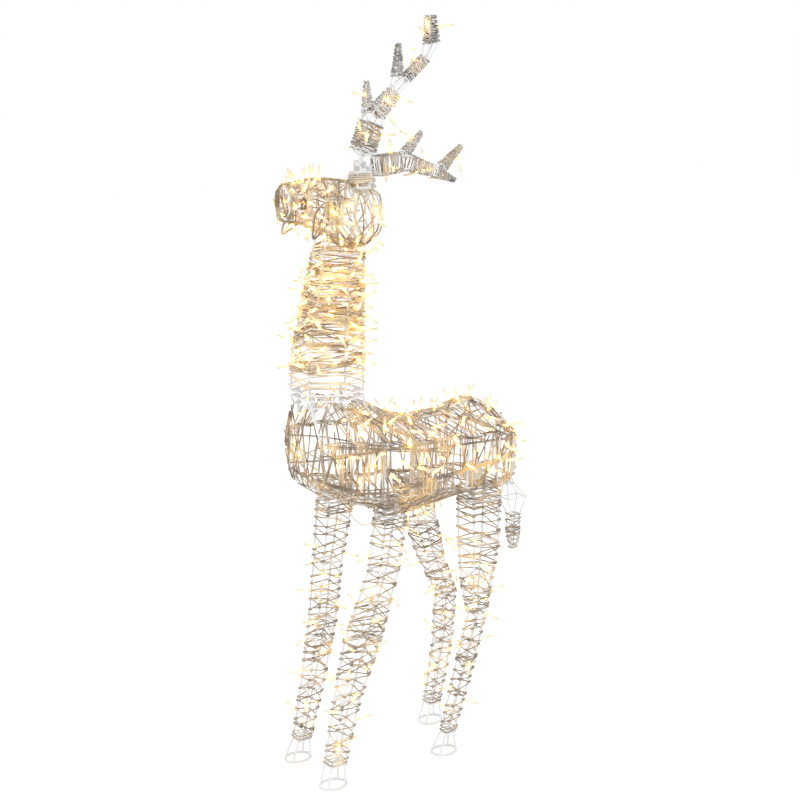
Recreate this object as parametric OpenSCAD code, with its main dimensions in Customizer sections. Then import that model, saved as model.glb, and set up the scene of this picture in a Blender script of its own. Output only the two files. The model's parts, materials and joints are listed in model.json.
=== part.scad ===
// Light-up yard reindeer: a welded wire frame wound with synthetic rattan cord and
// carrying strings of needle lamps. The animal faces -Y and its left side is +X.
// The neck and the legs plug into the torso, and the antlers fold on friction bolts.

/* [Wire] */
// Diameter of the frame wire
wire_d = 4; // [3:0.5:5]
// Diameter of the wire that the hooves are bent from
hoof_wire_d = 5; // [4:0.5:6]
// Diameter of the plug-in pins
pin_d = 5; // [4:0.5:6]

/* [Winding] */
// Clear distance from a frame wire's centre line to the inside of the winding
winding_gap = 3; // [2.8:0.1:4]
// Thickness of the wound cord layer
winding_t = 3; // [2:0.5:4]

/* [Lamps] */
// Length of a lamp with its clear holder
lamp_l = 30; // [20:1:34]
// Diameter of the lamp holder
lamp_d = 6; // [4:0.5:7]
// Lamps on the torso
torso_lamp_count = 96; // [40:1:120]
// Lamps on the neck
neck_lamp_count = 84; // [40:1:100]
// Lamps on the head
head_lamp_count = 54; // [20:1:60]
// Lamps on each leg
leg_lamp_count = 22; // [8:1:30]
// Lamps on each antler
antler_lamp_count = 16; // [6:1:20]

/* [Antlers] */
// Angle that the right antler rests folded back from upright
fold_angle = 62; // [50:1:65]
// Forward lean of the right antler's tines
right_tine_lean = 15; // [10:5:15]

/* [Hidden] */
$fn = 24;

white_wire = "whitesmoke";
rattan = "tan";
lamp_glow = "moccasin";
clear_cable = "lavenderblush";

// The whole model moves by this much, so that the origin is under the middle of its box
shift = [-2, -26, 0];

// Winding surfaces, as offsets outward from the frame wires
inner_face = winding_gap;
outer_face = winding_gap + winding_t;

// Torso sections from chest to rump: y, then half width and height of the top edge,
// the upper side edge, the lower side edge and the bottom edge
torso_sections = [
    [-222, 35, 764, 70, 700, 54, 626, 28, 608],
    [-168, 64, 768, 100, 702, 94, 598, 42, 578],
    [-105, 35, 762, 112, 696, 104, 585, 38, 556],
    [-40, 22, 728, 106, 688, 98, 580, 26, 540],
    [20, 18, 712, 100, 684, 94, 578, 12, 522],
    [100, 18, 717, 100, 682, 92, 574, 28, 546],
    [170, 14, 738, 108, 682, 98, 570, 45, 562],
    [236, 20, 696, 66, 664, 62, 570, 36, 560],
    [262, 18, 672, 38, 654, 38, 580, 22, 562],
];

rump = torso_sections[len(torso_sections) - 1];
torso_mid_z = 640;

// Neck sections: y of the centre, height, radius of the six corner wires
neck_sections = [
    [-168, 790, 70],
    [-165, 870, 68],
    [-153, 965, 57],
    [-140, 1052, 49],
];
collar_z = 779;
neck_pin_l = 34;

// Head sections from muzzle to nape: y, height of the centre, half width, half height
head_sections = [
    [-256, 1150, 27, 31],
    [-215, 1150, 33, 36],
    [-176, 1142, 42, 48],
    [-130, 1126, 48, 58],
    [-90, 1122, 44, 54],
    [-62, 1124, 30, 40],
];
muzzle_end = 2;
head_mid_z = 1140;

// Leg sections from top to ankle: x, y, z, half width, half depth; the last is in the hoof
leg_front_left = [
    [70, -68, 541, 20, 23], [70, -84, 430, 20, 21], [70, -135, 290, 22, 27],
    [70, -170, 180, 17, 19], [70, -200, 46, 13, 15], [68, -203, 4, 15, 20],
];
leg_front_right = [
    [-72, -111, 545, 24, 27], [-72, -130, 418, 20, 21], [-72, -144, 290, 19, 20],
    [-72, -172, 150, 16, 16], [-72, -197, 44, 12, 13], [-75, -204, 4, 15, 20],
];
leg_rear_left = [
    [72, 145, 542, 28, 32], [75, 143, 450, 28, 30], [75, 138, 345, 19, 20],
    [75, 142, 296, 12, 13], [72, 116, 196, 12, 13], [66, 75, 44, 9, 10], [64, 68, 4, 15, 20],
];
leg_rear_right = [
    [-67, 75, 530, 25, 28], [-67, 95, 470, 23, 25], [-67, 122, 380, 19, 20],
    [-68, 161, 298, 15, 15], [-70, 155, 184, 14, 14], [-75, 131, 44, 11, 12], [-77, 129, 4, 15, 20],
];
leg_pin_l = 30;
leg_pin_spread = 14;
socket_d = 9;
socket_l = 36;
fit_gap = 0.3;

// Tail sections from root to tip: x, y, z, half width, half depth
tail_sections = [
    [0, 268, 561, 5, 5], [0, 278, 536, 7, 9], [0, 288, 505, 16, 24],
    [0, 290, 468, 9, 11], [0, 290, 430, 9, 10], [0, 291, 392, 5, 6],
];
tail_wound_from = 3;

// Hoof loop, an oval seen from above: half length and half width of its centre line
hoof_half_l = 28;
hoof_half_w = 22;
hoof_points = 20;

// Antler bolts: the right one sits further back
bolt_left = [28, -108, 1218];
bolt_right = [-28, -64, 1205];
bracket_half = 11;
bracket_h = 34;
lug_d = 12;
bolt_d = 6;

// The antler in its fold plane, from the bolt: back, up, half width of the cage
antler_trunk = [
    [6, 26, 16], [25, 76, 15], [36, 94, 12], [76, 134, 8], [102, 158, 6], [146, 196, 6],
];
antler_tines = [
    [[18, 96, 7], [15, 153, 1.6]],
    [[84, 162, 7], [86, 222, 1.6]],
    [[161, 224, 10], [158, 276, 6]],
];
// The tapered end of an antler that has two tines
antler_end = [[85, 142, 7.5], [122, 176, 1.6]];

// Ear loop: root, tip and widest half width
ear_root = [42, -186, 1150];
ear_tip = [60, -228, 1090];
ear_half_w = 17;

// Power inlet: its middle, its lower face and the depth of its bore
inlet_y = 179.5;
inlet_z = 560;
inlet_depth = 16;
// Torso section in front of the inlet, and the share of the stretch behind it left open
inlet_section = 6;
inlet_gap = 0.27;

// Clear lamp cable that sags below the belly from one front leg to the other
cable_d = 2.4;
cable_route = [
    [-40, -110, 552], [-34, -108, 540], [-22, -103, 522], [-8, -97, 510],
    [8, -90, 506], [22, -84, 514], [32, -80, 530], [38, -78, 548],
];

// ---------- helpers ----------

function unit(v) = v / norm(v);
function mix(a, b, t) = a * (1 - t) + b * t;
function mirror_x(v) = [-v[0], v[1], v[2]];

// A round bar from a to b
module bar(a, b, d = wire_d) {
    v = b - a;
    translate(a)
        rotate([0, acos(v[2] / norm(v)), atan2(v[1], v[0])])
            cylinder(h = norm(v), d = d);
}

// A weld bead where bars meet, fatter than the wire
module bead(p, d = wire_d) translate(p) sphere(d = 1.45 * d);

// A wire or cable swept along a route as an eight-sided tube
module tube(route, d, side_ref) {
    sides = 8;
    n = len(route);
    dirs = [for (i = [0:n - 1]) unit(route[min(i + 1, n - 1)] - route[max(i - 1, 0)])];
    across = [for (v = dirs) unit(cross(v, side_ref))];
    points = [for (i = [0:n - 1]) for (k = [0:sides - 1])
        route[i] + d / 2 * (cos(360 * k / sides) * across[i]
            + sin(360 * k / sides) * cross(dirs[i], across[i]))];
    walls = [for (i = [0:n - 2]) for (k = [0:sides - 1])
        let (a = i * sides + k, b = i * sides + (k + 1) % sides) [a, a + sides, b + sides, b]];
    first = [for (k = [0:sides - 1]) k];
    last = [for (k = [sides - 1:-1:0]) (n - 1) * sides + k];
    polyhedron(points, concat(triangles(walls), [first, last]));
}

// The long wires alone, each swept in one piece
module rails(rings, d = wire_d)
    for (k = [0:len(rings[0]) - 1])
        tube([for (ring = rings) ring[k]], d, [0, 0, 1]);

// A closed loop of wire that lies in one plane, its corners mitred, swept as an eight-sided tube
module flat_loop(points, d) {
    sides = 8;
    n = len(points);
    across = unit(cross(points[1] - points[0], points[2] - points[1]));
    ways = [for (i = [0:n - 1]) unit(points[(i + 1) % n] - points[i])];
    tube_points = [for (i = [0:n - 1])
        let (along = unit(ways[(i + n - 1) % n] + ways[i]), mitre = 1 / (along * ways[i]))
        for (k = [0:sides - 1])
            points[i] + d / 2 * (cos(360 * k / sides) * across
                + mitre * sin(360 * k / sides) * cross(along, across))];
    walls = [for (i = [0:n - 1]) for (k = [0:sides - 1])
        let (a = i * sides, b = (i + 1) % n * sides, j = (k + 1) % sides) [a + k, b + k, b + j, a + j]];
    polyhedron(tube_points, triangles(walls));
}

// A closed loop of bars through points
module wire_loop(points, d = wire_d) {
    for (i = [0:len(points) - 1]) {
        bar(points[i], points[(i + 1) % len(points)], d);
        bead(points[i], d);
    }
}

// Long wires that join the matching corners of neighbouring rings
module long_wires(rings, d = wire_d) {
    for (i = [0:len(rings) - 2])
        for (k = [0:len(rings[i]) - 1])
            bar(rings[i][k], rings[i + 1][k], d);
}

// A welded cage: every ring and the wires along it
module cage(rings, d = wire_d) {
    for (ring = rings) wire_loop(ring, d);
    long_wires(rings, d);
}

// Four-cornered faces cut into triangles
function triangles(faces) = [for (f = faces) each [[f[0], f[1], f[2]], [f[0], f[2], f[3]]]];

// A thin tube between two matching stacks of rings, open at both ends
module sleeve(outer, inner) {
    n = len(outer[0]);
    m = len(outer);
    points = concat([for (r = outer) each r], [for (r = inner) each r]);
    walls = [for (i = [0:m - 2]) for (k = [0:n - 1])
        let (a = i * n + k, b = i * n + (k + 1) % n) [a, b, b + n, a + n]];
    inside = [for (f = walls) [f[0] + m * n, f[3] + m * n, f[2] + m * n, f[1] + m * n]];
    first_rim = [for (k = [0:n - 1]) let (j = (k + 1) % n) [j, k, k + m * n, j + m * n]];
    last = (m - 1) * n;
    last_rim = [for (k = [0:n - 1])
        let (j = (k + 1) % n) [last + k, last + j, last + j + m * n, last + k + m * n]];
    polyhedron(points, triangles(concat(walls, inside, first_rim, last_rim)));
}

// ---------- sections ----------

// Rectangle of a leg or tail section, pushed outward by d
function rect_ring(s, d = 0) = [
    for (c = [[1, 1], [1, -1], [-1, -1], [-1, 1]])
        [s[0] + c[0] * (s[3] + d), s[1] + c[1] * (s[4] + d), s[2]]
];
function rect_rings(sections, d = 0) = [for (s = sections) rect_ring(s, d)];

// Hexagon of a neck section
function neck_ring(s, d = 0) = [
    for (k = [0:5]) [(s[2] + d) * cos(60 * k), s[0] - (s[2] + d) * sin(60 * k), s[1]]
];
function neck_rings(d = 0) = [for (s = neck_sections) neck_ring(s, d)];

// Octagon of a head section, upright across the muzzle's axis
function head_ring(s, d = 0) = [
    for (k = [0:7]) [(s[2] + d) * cos(45 * k + 22.5), s[0], s[1] + (s[3] + d) * sin(45 * k + 22.5)]
];
function head_rings(from, to, d = 0) = [for (i = [from:to]) head_ring(head_sections[i], d)];

// Half of a torso section from its top edge down to its bottom edge, on one side
function torso_side(s, side, d = 0) = [
    [side * (s[1] + 0.3 * d), s[0], s[2] + d],
    [side * (s[3] + d), s[0], s[4] + 0.3 * d],
    [side * (s[5] + d), s[0], s[6] - 0.3 * d],
    [side * (s[7] + 0.3 * d), s[0], s[8] - d],
];
function reversed(list) = [for (i = [len(list) - 1:-1:0]) list[i]];
function torso_ring(s, d = 0) = concat(torso_side(s, 1, d), reversed(torso_side(s, -1, d)));

// A point on the torso's surface: k is the band between corners k and k + 1 of the ring,
// u runs along the sections and t runs across the band
function torso_point(k, u, t, d) =
    let (i = min(floor(u), len(torso_sections) - 2),
         a = torso_ring(torso_sections[i], d), b = torso_ring(torso_sections[i + 1], d),
         j = (k + 1) % 8)
    mix(mix(a[k], a[j], t), mix(b[k], b[j], t), u - i);

// A thin panel over one band, a little short of its edges: from a section or a place
// between two, given as a fraction, to a later section
module torso_panel(k, from = 0, to = len(torso_sections) - 1) {
    edge_gap = 0.03;
    stations = concat([from], [for (i = [floor(from) + 1:to]) i]);
    stretches = len(stations) - 1;
    points = [for (u = stations)
        each [torso_point(k, u, edge_gap, outer_face), torso_point(k, u, 1 - edge_gap, outer_face),
              torso_point(k, u, 1 - edge_gap, inner_face), torso_point(k, u, edge_gap, inner_face)]];
    walls = [for (i = [0:stretches - 1]) for (j = [0:3])
        let (a = i * 4 + j, b = i * 4 + (j + 1) % 4)
        j == 2 ? [b, b + 4, a + 4, a] : [a, b, b + 4, a + 4]];
    last = stretches * 4;
    caps = [[3, 2, 1, 0], [last, last + 1, last + 2, last + 3]];
    polyhedron(points, triangles(concat(walls, caps)));
}

// A flat panel across the torso at y, inside one section's corners
module torso_end_panel(s, y) {
    inset = 5;
    corners = torso_ring(s, -inset);
    translate([0, y + winding_t, 0])
        rotate([90, 0, 0])
            linear_extrude(winding_t)
                polygon([for (c = corners) [c[0], c[2]]]);
}

// ---------- lamps ----------

// One needle lamp: its socket, then its clear holder
module lamp(p, dir) {
    socket_part = 0.35;
    translate(p)
        rotate([0, acos(dir[2] / norm(dir)), atan2(dir[1], dir[0])]) {
            cylinder(h = lamp_l * socket_part, d = lamp_d);
            translate([0, 0, lamp_l * socket_part])
                cylinder(h = lamp_l * (1 - socket_part), d1 = lamp_d - 0.6, d2 = lamp_d - 2);
        }
}

// Direction of a lamp: outward, tipped by a random vector
function lamp_dir(outward, r, tip = 0.95) = unit(unit(outward) + tip * r);

// An even but irregular spread of numbers: the fractional part of steps of an irrational number
STEPS = [0.6180340, 0.6180340, 0.7548777, 0.4142136, 0.7320508];
function spread(i, channel, lo = 0, hi = 1) =
    let (x = (i + 1) * STEPS[channel] + 0.13 * channel) lo + (hi - lo) * (x - floor(x));
function jolt(i) = [spread(i, 2, -1, 1), spread(i, 3, -1, 1), spread(i, 4, -1, 1)];

// Lamps over a stack of matching rings, n of them between two heights of the stack,
// pointing away from the stack's own middle, or to one side along X only where out is set
module ring_lamps(rings, n, seed, from, to, tip = 0.95, out = 0) {
    for (i = [0:n - 1]) {
        at = from + (to - from) * (i + 0.5) / n;
        around = spread(seed + i, 0, 0, len(rings[0]));
        k = floor(around);
        j = (k + 1) % len(rings[0]);
        p = ring_point(rings, at, k, j, around - k);
        dir = lamp_dir(p - stack_middle(rings, at), jolt(seed + i), tip);
        lamp(p, out == 0 ? dir : [out * abs(dir[0]), dir[1], dir[2]]);
    }
}
function ring_point(rings, at, k, j, t) =
    let (i = min(floor(at), len(rings) - 2))
    mix(mix(rings[i][k], rings[i][j], t), mix(rings[i + 1][k], rings[i + 1][j], t), at - i);
function middle(ring) = [for (c = [0:2]) (max([for (p = ring) p[c]]) + min([for (p = ring) p[c]])) / 2];
function stack_middle(rings, at) =
    let (i = min(floor(at), len(rings) - 2)) mix(middle(rings[i]), middle(rings[i + 1]), at - i);

// ---------- torso ----------

// Height of the torso's bottom and lower side edges at y, for the pin hangers
function section_at(y) =
    let (i = max([for (k = [0:len(torso_sections) - 2]) if (torso_sections[k][0] <= y) k]),
         f = (y - torso_sections[i][0]) / (torso_sections[i + 1][0] - torso_sections[i][0]))
    mix(torso_sections[i], torso_sections[i + 1], f);

// Tops of the two pins of a leg
function pin_feet(leg) = [
    for (side = [-1, 1]) [leg[0][0], leg[0][1] + side * leg_pin_spread, leg[0][2]]
];
ALL_LEGS = [leg_front_left, leg_front_right, leg_rear_left, leg_rear_right];
socket_start = 4;

module torso_hoops() color(white_wire) translate(shift)
    for (s = torso_sections) flat_loop(torso_ring(s), wire_d);

module torso_rails() color(white_wire) translate(shift)
    rails([for (s = torso_sections) torso_ring(s)]);

// A blind tube for each leg pin, hung from the torso's lower wires by two struts
module leg_sockets() color(white_wire) translate(shift)
    for (leg = ALL_LEGS) for (foot = pin_feet(leg)) {
        side = sign(foot[0]);
        s = section_at(foot[1]);
        top = foot + [0, 0, socket_start + socket_l - wire_d / 2];
        difference() {
            translate(foot + [0, 0, socket_start]) cylinder(h = socket_l, d = socket_d);
            translate(foot + [0, 0, socket_start - 1]) cylinder(h = leg_pin_l, d = pin_d + 2 * fit_gap);
        }
        bar(top, [side * s[5], foot[1], s[6]]);
        bar(top, [side * s[7], foot[1], s[8]]);
    }

// Room in the belly's winding for the leg sockets
module socket_gaps()
    for (leg = ALL_LEGS) for (foot = pin_feet(leg))
        translate(foot) cylinder(h = 50, d = socket_d + 3);

// Plug-in points of the neck: four of the six corners, inside the ring
function neck_plug(k, inset, z) =
    let (s = neck_sections[0], r = s[2] - inset) [r * cos(60 * k), s[0] - r * sin(60 * k), z];
neck_plug_corners = [1, 2, 4, 5];
neck_plug_inset = 16;

module neck_collar() color(white_wire) translate(shift) {
    ring = [for (k = [0:5]) neck_plug(k, 0, collar_z)];
    wire_loop(ring);
    bar(ring[0], torso_ring(torso_sections[1])[0]);
    bar(ring[3], torso_ring(torso_sections[1])[7]);
    bar(ring[1], torso_ring(torso_sections[0])[0]);
    bar(ring[2], torso_ring(torso_sections[0])[7]);
    bar(ring[5], torso_ring(torso_sections[2])[0]);
    bar(ring[4], torso_ring(torso_sections[2])[7]);
    for (k = neck_plug_corners)
        bar(ring[k], neck_plug(k, neck_plug_inset - socket_d / 2 + 0.8, collar_z));
}

module neck_sockets() color(white_wire) translate(shift)
    for (k = neck_plug_corners)
        translate(neck_plug(k, neck_plug_inset, collar_z + 3 - socket_l)) difference() {
            cylinder(h = socket_l, d = socket_d);
            translate([0, 0, socket_l - leg_pin_l])
                cylinder(h = leg_pin_l + 1, d = pin_d + 2 * fit_gap);
        }

module winding_back_left() color(rattan) translate(shift) torso_panel(0);
module winding_flank_left() color(rattan) translate(shift) torso_panel(1);
module winding_belly_left() color(rattan) translate(shift) difference() {
    torso_panel(2);
    socket_gaps();
}
// The turns below the belly leave a gap for the plug of the lead
module winding_keel() color(rattan) translate(shift) {
    torso_panel(3, to = inlet_section);
    torso_panel(3, from = inlet_section + inlet_gap);
}
module winding_belly_right() color(rattan) translate(shift) difference() {
    torso_panel(4);
    socket_gaps();
}
module winding_flank_right() color(rattan) translate(shift) torso_panel(5);
module winding_back_right() color(rattan) translate(shift) torso_panel(6);
module winding_ridge() color(rattan) translate(shift) torso_panel(7, from = 2);
module winding_chest() color(rattan) translate(shift)
    torso_end_panel(torso_sections[0], torso_sections[0][0] - outer_face);
module winding_rump() color(rattan) translate(shift)
    torso_end_panel(rump, rump[0] + inner_face);

// Lamps on one band of the torso, pointing away from the torso's middle line
module band_lamps(k, n, seed, t_from, t_to, u_from = 0.3, u_to = 7.8) {
    for (i = [0:n - 1]) {
        at = u_from + (u_to - u_from) * (i + 0.5) / n;
        p = torso_point(k, at, spread(seed + i, 1, t_from, t_to), outer_face);
        lamp(p, lamp_dir([p[0], 0, p[2] - torso_mid_z], jolt(seed + i)));
    }
}

module torso_lamps() color(lamp_glow) translate(shift) {
    share = torso_lamp_count / 96;
    band_lamps(0, round(22 * share), 11, 0.3, 0.95);
    band_lamps(1, round(22 * share), 21, 0.05, 0.65);
    band_lamps(5, round(16 * share), 31, 0.05, 0.65);
    band_lamps(6, round(16 * share), 41, 0.3, 0.95);
    band_lamps(7, round(12 * share), 51, 0.1, 0.9, 3, 7.6);
    for (i = [0:round(8 * share) - 1]) {
        y = 5 + 12 * i;
        r = jolt(61 + i);
        lamp([0, y, section_at(y)[8] - outer_face], lamp_dir([0, 0, -1], [0.3 * r[0], r[1], 0.6 * r[2]]));
    }
}

module torso_lamp_cable() color(clear_cable) translate(shift) tube(cable_route, cable_d, [0, 1, 0]);

// Small weatherproof socket inside the belly, open downward, for the lead of the power supply
module power_inlet() color("ivory") translate(shift) translate([0, inlet_y, inlet_z]) difference() {
    translate([-13, -12, 0]) cube([26, 24, 38]);
    translate([0, 0, -1]) cylinder(h = inlet_depth + 1, d = 11);
}

// ---------- tail ----------

module tail_frame() color(white_wire) translate(shift) cage(rect_rings(tail_sections), 3);

module tail_winding() color(rattan) translate(shift) {
    low = [for (i = [tail_wound_from:len(tail_sections) - 1]) tail_sections[i]];
    sleeve(rect_rings(low, 4.5), rect_rings(low, 2.5));
}

// ---------- neck and head ----------

module neck_frame() color(white_wire) translate(shift) cage(neck_rings());

module neck_pins() color(white_wire) translate(shift)
    for (k = neck_plug_corners) {
        top = neck_plug(k, neck_plug_inset, neck_sections[0][1]);
        bar(neck_plug(k, 0, neck_sections[0][1]), top);
        bead(top, pin_d);
        bar(top, top - [0, 0, neck_pin_l], pin_d);
    }

// The winding starts a little above the base ring, which stays bare
module neck_winding() color(rattan) translate(shift) {
    base = [neck_sections[0][0], neck_sections[0][1] + 10, neck_sections[0][2]];
    wound = [base, neck_sections[1], neck_sections[2], neck_sections[3]];
    sleeve([for (s = wound) neck_ring(s, outer_face)], [for (s = wound) neck_ring(s, inner_face)]);
}

module neck_lamps() color(lamp_glow) translate(shift)
    ring_lamps(neck_rings(outer_face), neck_lamp_count, 71, 0.5, 2.9, tip = 0.8);

module head_hoops() color(white_wire) translate(shift)
    for (ring = head_rings(0, 5)) flat_loop(ring, wire_d);

// The head's long wires, with four posts that stand on the neck's top ring
module head_rails() color(white_wire) translate(shift) {
    rings = head_rings(0, 5);
    rails(rings);
    top = neck_ring(neck_sections[3]);
    bar(top[1], rings[2][6]);
    bar(top[2], rings[2][5]);
    bar(top[5], rings[4][6]);
    bar(top[4], rings[4][5]);
}

module muzzle_winding() color(rattan) translate(shift)
    sleeve(head_rings(0, muzzle_end, outer_face), head_rings(0, muzzle_end, inner_face));

module head_winding() color(rattan) translate(shift)
    sleeve(head_rings(muzzle_end, 5, outer_face), head_rings(muzzle_end, 5, inner_face));

// Lamps leave the head's crown free, where the antlers fold
module head_lamps() color(lamp_glow) translate(shift) {
    rings = head_rings(0, 5, outer_face);
    lower = [for (ring = rings) [ring[4], ring[5], ring[6], ring[7], ring[0]]];
    share = head_lamp_count / 54;
    side_lamps(lower, round(36 * share), 81, 0.1, 4.8);
    upper = [for (i = [0:2]) [for (k = [0:4]) rings[i][k]]];
    side_lamps(upper, round(18 * share), 91, 0.1, 1.9);
}

// Lamps over an open strip of matching rows, pointing away from the head's middle line
module side_lamps(rows, n, seed, from, to) {
    for (i = [0:n - 1]) {
        at = from + (to - from) * (i + 0.5) / n;
        across = spread(seed + i, 1, 0, len(rows[0]) - 1.01);
        k = floor(across);
        p = ring_point(rows, at, k, k + 1, across - k);
        lamp(p, lamp_dir([p[0], 0, p[2] - head_mid_z], jolt(seed + i), 0.8));
    }
}

// A leaf-shaped loop of thin wire that hangs from the side of the head
module ear(side) {
    ear_wire_d = 3;
    along = unit(ear_tip - ear_root);
    wide = unit(cross([1, 0, 0], along));
    half = [for (t = [[0.2, 0.7], [0.45, 1], [0.75, 0.7]])
        [mix(ear_root, ear_tip, t[0]), t[1] * ear_half_w * wide]];
    points = concat([ear_root], [for (h = half) h[0] + h[1]],
                    [ear_tip], [for (h = reversed(half)) h[0] - h[1]]);
    wire_loop(side > 0 ? points : [for (p = points) mirror_x(p)], ear_wire_d);
    spine = [ear_root, ear_tip];
    bar(side > 0 ? spine[0] : mirror_x(spine[0]), side > 0 ? spine[1] : mirror_x(spine[1]), ear_wire_d);
}
module ear_left() color(rattan) translate(shift) ear(1);
module ear_right() color(rattan) translate(shift) ear(-1);

// ---------- antlers ----------

// Stub that stands on the head: a small cage with two cheeks that hold the bolt
module antler_bracket(bolt) {
    half = 13;
    cheek_t = 2;
    cheek_w = 14;
    cheek_up = 8;
    stub = [[0, 0, -bracket_h - 8, half, half], [0, 0, -14, half, half]];
    translate(bolt) {
        cage(rect_rings(stub));
        for (side = [-1, 1]) difference() {
            translate([side * bracket_half - cheek_t / 2, -cheek_w / 2, -16])
                cube([cheek_t, cheek_w, 16 + cheek_up]);
            rotate([0, 90, 0])
                cylinder(h = 2 * bracket_half + 2 * cheek_t, d = bolt_d + 2 * fit_gap, center = true);
        }
    }
}
module antler_bracket_left() color(white_wire) translate(shift) antler_bracket(bolt_left);
module antler_bracket_right() color(white_wire) translate(shift) antler_bracket(bolt_right);

module antler_bolts() color("silver") translate(shift)
    for (bolt = [bolt_left, bolt_right]) translate(bolt) rotate([0, 90, 0]) {
        cylinder(h = 32, d = bolt_d, center = true);
        translate([0, 0, -16]) cylinder(h = 3.6, d = 11);
        translate([0, 0, 12.4]) cylinder(h = 3.6, d = 10, $fn = 6);
    }

module stub_winding(bolt) {
    stub = [[0, 0, -bracket_h, 13, 13], [0, 0, -16, 13, 13]];
    translate(bolt) sleeve(rect_rings(stub, outer_face), rect_rings(stub, inner_face));
}
module stub_winding_left() color(rattan) translate(shift) stub_winding(bolt_left);
module stub_winding_right() color(rattan) translate(shift) stub_winding(bolt_right);

// Square ring around an antler's middle line, across the direction from p to q
function antler_ring(p, dir, r) =
    let (v = unit([0, dir[0], dir[1]]), n = [0, -v[2], v[1]], at = [0, p[0], p[1]])
    [at + [r, 0, 0] + r * n, at + [r, 0, 0] - r * n, at - [r, 0, 0] - r * n, at - [r, 0, 0] + r * n];
function flat_dir(a, b) = [b[0] - a[0], b[1] - a[1]];
function antler_rings(a, b, d = 0) = [for (s = [a, b]) antler_ring(s, flat_dir(a, b), s[2] + d)];

// A tine turned about its own foot
function leaned(tine, lean) =
    let (v = flat_dir(tine[0], tine[1]))
    [tine[0], [tine[0][0] + v[0] * cos(lean) - v[1] * sin(lean),
               tine[0][1] + v[0] * sin(lean) + v[1] * cos(lean), tine[1][2]]];

// The antler's wound stretches: three of the trunk, then the tines
function antler_parts(lean, tines) = concat(
    [for (i = [0, 2]) [antler_trunk[i], antler_trunk[i + 1]]],
    [tines > 2 ? [antler_trunk[4], antler_trunk[5]] : antler_end],
    [for (i = [0:tines - 1]) leaned(antler_tines[i], lean)]);

antler_wire_d = 3;
antler_stem = 16 * unit([0, antler_trunk[0][0], antler_trunk[0][1]]);

// The trunk's rings from root to end; the last one of a two-tined antler is its point
function trunk_rings(parts, tines) = concat(
    [for (i = [0:2]) each antler_rings(parts[i][0], parts[i][1])],
    tines > 2 ? antler_rings(parts[5][0], parts[5][1]) : []);
function tine_foot(i) = antler_rings(antler_tines[i][0], antler_tines[i][1])[0];
function tine_tip(part) = antler_rings(part[0], part[1])[1];

// The hub on the bolt, the welded rings, and a knob on each point
module antler_hoops(lean, tines) {
    stem_d = 8;
    knob_d = 7;
    difference() {
        union() {
            rotate([0, 90, 0]) cylinder(h = 2 * bracket_half - 2.8, d = lug_d, center = true);
            bar([0, 0, 0], antler_stem, stem_d);
        }
        rotate([0, 90, 0]) cylinder(h = 40, d = bolt_d + 2 * fit_gap, center = true);
    }
    parts = antler_parts(lean, tines);
    rings = trunk_rings(parts, tines);
    knobs = concat([for (i = [0, 1]) tine_tip(parts[3 + i])], tines > 2 ? [] : [rings[5]]);
    for (i = [0:tines > 2 ? 7 : 4]) flat_loop(rings[i], antler_wire_d);
    for (i = [0, 1]) flat_loop(tine_foot(i), antler_wire_d);
    for (knob = knobs) translate(middle(knob)) sphere(d = knob_d);
}

// The long wires of the trunk from the stem up, then those of the two lower tines
module antler_rails(lean, tines) {
    parts = antler_parts(lean, tines);
    rings = trunk_rings(parts, tines);
    for (k = [0:3])
        tube(concat([mix(0.9 * antler_stem, rings[0][k], 0.12)], [for (ring = rings) ring[k]]),
             antler_wire_d, [1, 0, 0]);
    for (i = [0, 1]) {
        foot = tine_foot(i);
        tip = tine_tip(parts[3 + i]);
        trunk = rings[2 * i + 1];
        for (k = [0, 3])
            tube([mix(trunk[k], trunk[3 - k], 0.2), foot[k], tip[k]], antler_wire_d, [1, 0, 0]);
        for (k = [1, 2])
            tube([foot[k], tip[k]], antler_wire_d, [1, 0, 0]);
    }
}

module antler_winding(lean, tines) {
    for (part = antler_parts(lean, tines))
        sleeve(antler_rings(part[0], part[1], 4.5), antler_rings(part[0], part[1], 2.3));
}

// No lamp points towards the other antler: side is the outward direction along X
module antler_lamps(lean, tines, seed, side) {
    parts = antler_parts(lean, tines);
    n = len(parts);
    share = antler_lamp_count / 12;
    counts = [4, 3, 1, 1, 1, 2];
    for (i = [0:n - 1])
        ring_lamps(antler_rings(parts[i][0], parts[i][1], 4.5), round(counts[i] * share), seed + 7 * i,
                   i == 0 ? 0.5 : 0.2, 0.95, out = side);
}

module antler_left_hoops() color(white_wire) translate(shift) translate(bolt_left) antler_hoops(0, 3);
module antler_left_rails() color(white_wire) translate(shift) translate(bolt_left) antler_rails(0, 3);
module antler_left_winding() color("lightgray") translate(shift) translate(bolt_left)
    antler_winding(0, 3);
module antler_left_lamps() color(lamp_glow) translate(shift) translate(bolt_left)
    antler_lamps(0, 3, 101, 1);
module antler_right_hoops() color(white_wire) translate(shift) translate(bolt_right)
    rotate([-fold_angle, 0, 0]) antler_hoops(right_tine_lean, 2);
module antler_right_rails() color(white_wire) translate(shift) translate(bolt_right)
    rotate([-fold_angle, 0, 0]) antler_rails(right_tine_lean, 2);
module antler_right_winding() color("lightgray") translate(shift) translate(bolt_right)
    rotate([-fold_angle, 0, 0]) antler_winding(right_tine_lean, 2);
module antler_right_lamps() color(lamp_glow) translate(shift) translate(bolt_right)
    rotate([-fold_angle, 0, 0]) antler_lamps(right_tine_lean, 2, 151, -1);

// ---------- legs ----------

// Wound part of a leg: every section but the one in the hoof
function wound(leg) = [for (i = [0:len(leg) - 2]) leg[i]];

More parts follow.
